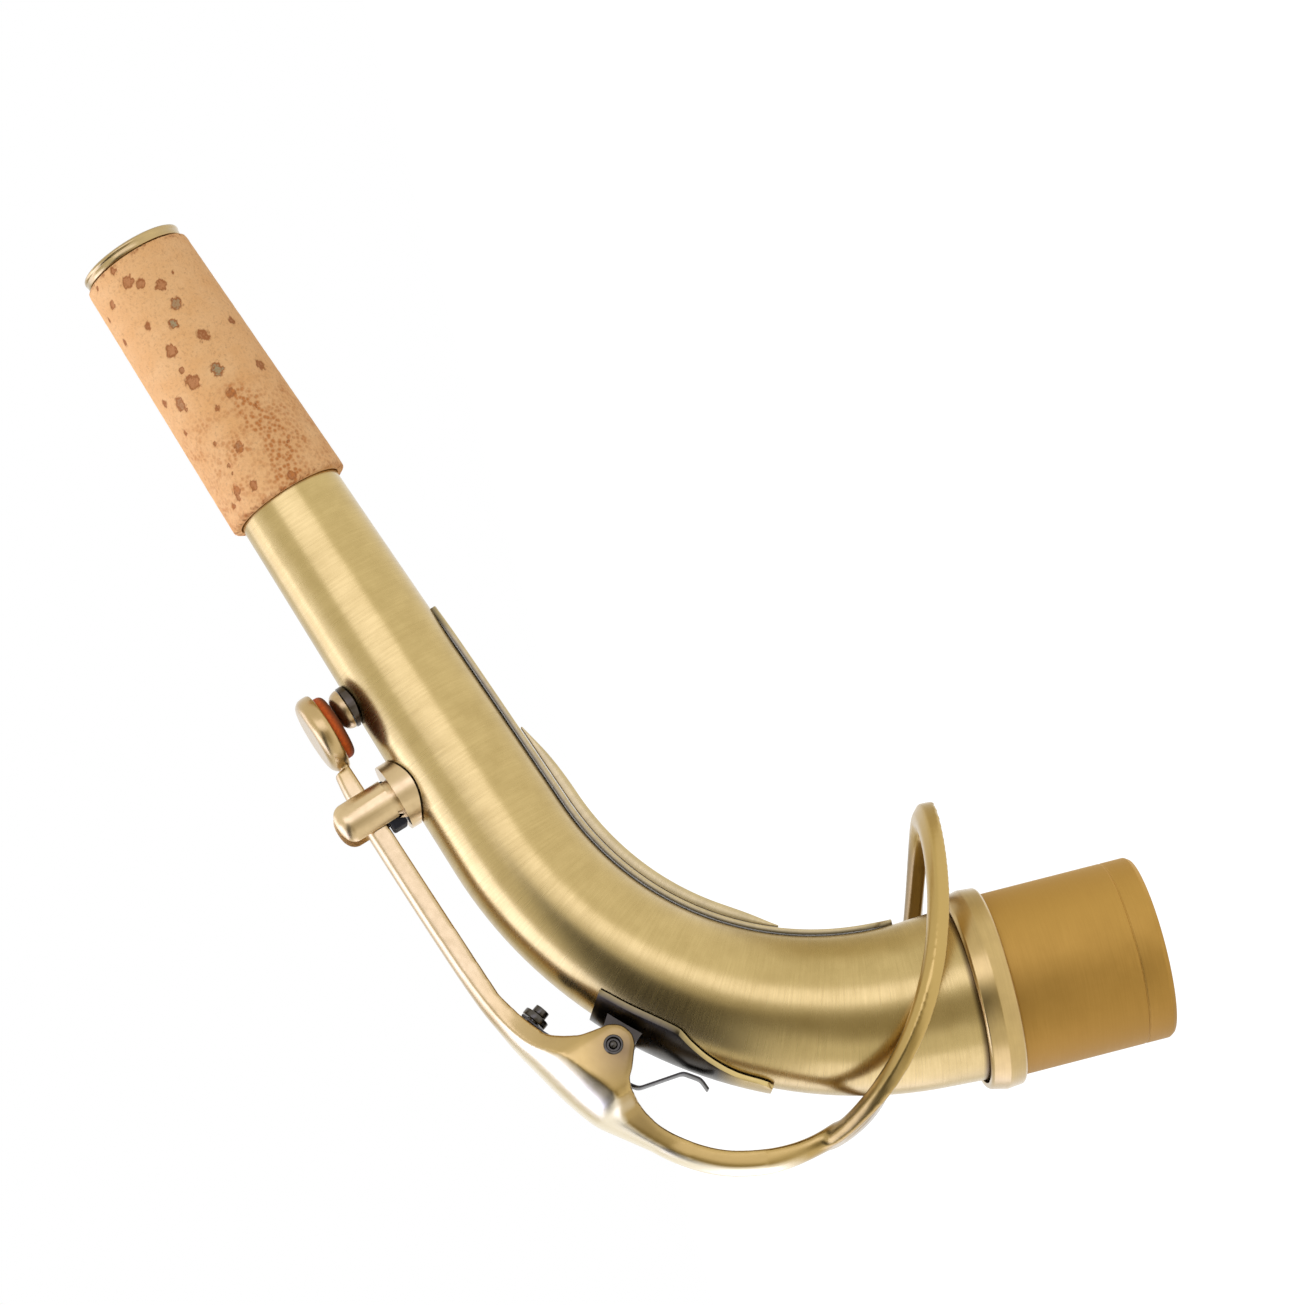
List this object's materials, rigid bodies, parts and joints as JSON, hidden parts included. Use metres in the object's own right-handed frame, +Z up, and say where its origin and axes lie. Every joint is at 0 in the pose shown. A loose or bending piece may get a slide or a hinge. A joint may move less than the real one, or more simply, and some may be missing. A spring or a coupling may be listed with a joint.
{
  "type": "saxophone neck",
  "caption": "Bent, tapered saxophone neck with corked mouthpiece end, ridged tenon collar, brace, and a sprung octave key whose loop goes round the neck",
  "frame": {"origin": "on the tenon's axis, in the plane of the collar's lower shoulder", "axes": "+Z up along the tenon's axis, +X the way the neck bends, Y across; the plane Y = 0 cuts the neck in half"},
  "size_m": [0.1439, 0.032, 0.1147],
  "materials": {
    "tube_brass": "olive-gold lacquered brass, finely brushed round the tube",
    "tip_brass": "satin pale brass",
    "cork": "sanded natural cork with brown pits",
    "silvered": "dull nickel",
    "bronze": "dark antique bronze",
    "pad": "orange-brown pad leather",
    "key_brass": "satin pinkish brass with bright edges",
    "felt": "black felt",
    "plate_brass": "polished brass",
    "black_steel": "blackened steel",
    "spring_steel": "blued spring steel",
    "ring_brass": "brushed antique brass",
    "brace_brass": "brushed brass with bright edges",
    "collar_brass": "satin brass",
    "tenon_brass": "matte bare brass"
  },
  "bodies": {
    "neck": {"neck_tube": "tube_brass", "mouthpiece_end_ring": "tip_brass", "neck_cork": "cork", "pip_base_ring": "silvered", "vent_pip": "bronze", "key_guide": "key_brass", "guide_felt": "felt", "saddle_plate": "plate_brass", "hinge_post": "plate_brass", "brace_plate": "brace_brass", "brace_rib": "brace_brass", "tenon_collar": "collar_brass", "tenon_sleeve": "tenon_brass"},
    "octave_key": {"octave_pad": "pad", "pad_cup": "key_brass", "key_lever": "key_brass", "key_ring": "ring_brass", "hinge_screw": "black_steel", "spring_washer": "black_steel", "spring_screw": "black_steel", "flat_spring": "spring_steel"}
  },
  "joints": [
    {"name": "octave_key_hinge", "type": "hinge", "parent": "neck", "child": "octave_key", "pos_m": [0.00417, 0, 0.05191], "axis": [0, -1, 0], "range_deg": [0, 4.5], "stiffness_Nm_per_rad": 0.2, "springref_deg": -8.59, "deforming": ["flat_spring"]}
  ]
}
